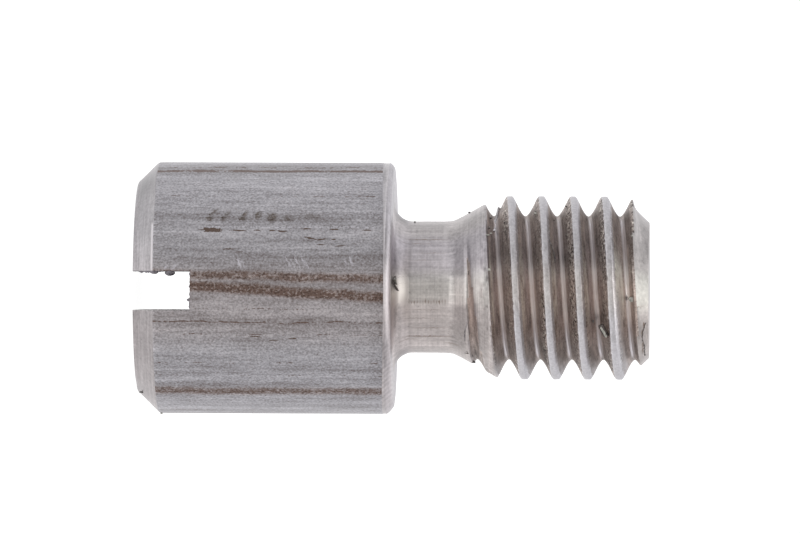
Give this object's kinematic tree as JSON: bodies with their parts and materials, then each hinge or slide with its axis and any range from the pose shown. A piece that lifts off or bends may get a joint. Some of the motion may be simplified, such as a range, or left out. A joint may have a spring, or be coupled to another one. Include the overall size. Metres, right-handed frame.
{
  "type": "threaded pivot pin",
  "caption": "Turned steel pivot pin: a plain cylindrical head with a driver slot for a lever or roller to turn on, a relieved neck, and a metric screw thread that fixes it.",
  "frame": {"origin": "centre of the slotted end face, on the pin's axis", "axes": "+Z along the pin's axis from the slotted head to the threaded end, Y along the driver slot"},
  "size_m": [0.008, 0.008, 0.0162],
  "materials": {
    "turned_steel": "bare: drawn bar on the head, fine turned neck and chamfers, cut thread"
  },
  "bodies": {
    "root": {"pivot_pin": "turned_steel"}
  },
  "joints": []
}
